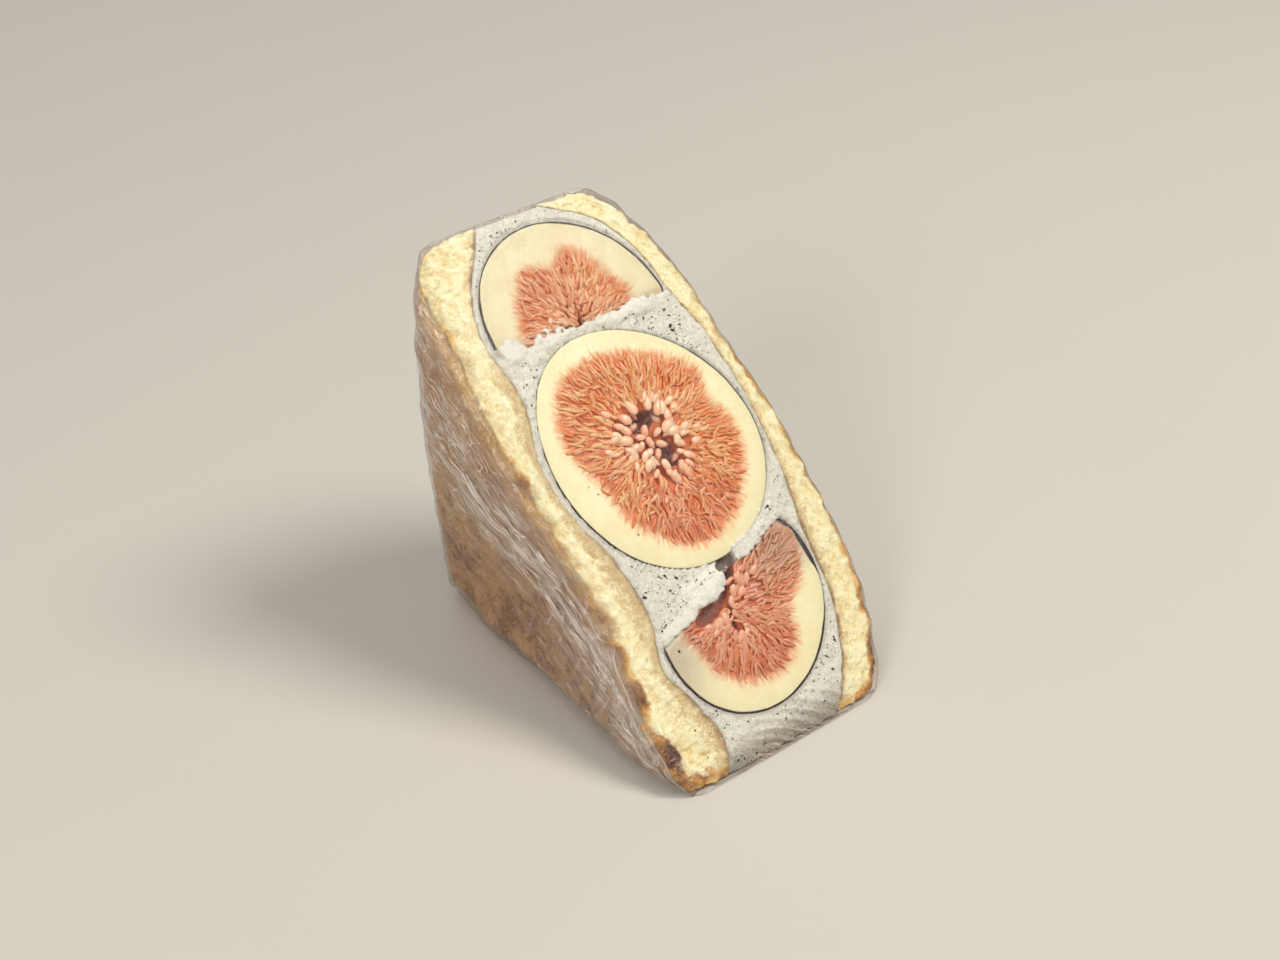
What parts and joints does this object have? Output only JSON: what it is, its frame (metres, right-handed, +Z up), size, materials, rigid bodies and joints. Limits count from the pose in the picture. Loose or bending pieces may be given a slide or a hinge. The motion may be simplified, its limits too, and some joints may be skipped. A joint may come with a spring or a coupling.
{
  "type": "fig sandwich",
  "caption": "Half of a square fig sandwich in clear film, cut corner to corner, with figs and speckled cream showing at its leaning cut face.",
  "frame": {"origin": "middle of the underside of the whole sandwich's box", "axes": "+X across the slices, to the right when the cut face is looked at; +Y from the foot of the cut face to the back; +Z up"},
  "size_m": [0.073, 0.0974, 0.0974],
  "materials": {
    "bread": "pale crumb with a golden to dark brown crust",
    "cream": "soft pale grey cream with fine black specks",
    "fig": "moist orange-red pulp in pale yellow flesh with a dark skin",
    "film": "thin clear glossy cling film, gathered in folds"
  },
  "bodies": {
    "root": {"bread_left": "bread", "bread_right": "bread", "cream": "cream", "fig_top": "fig", "fig_middle": "fig", "fig_bottom": "fig", "film": "film"}
  },
  "joints": []
}
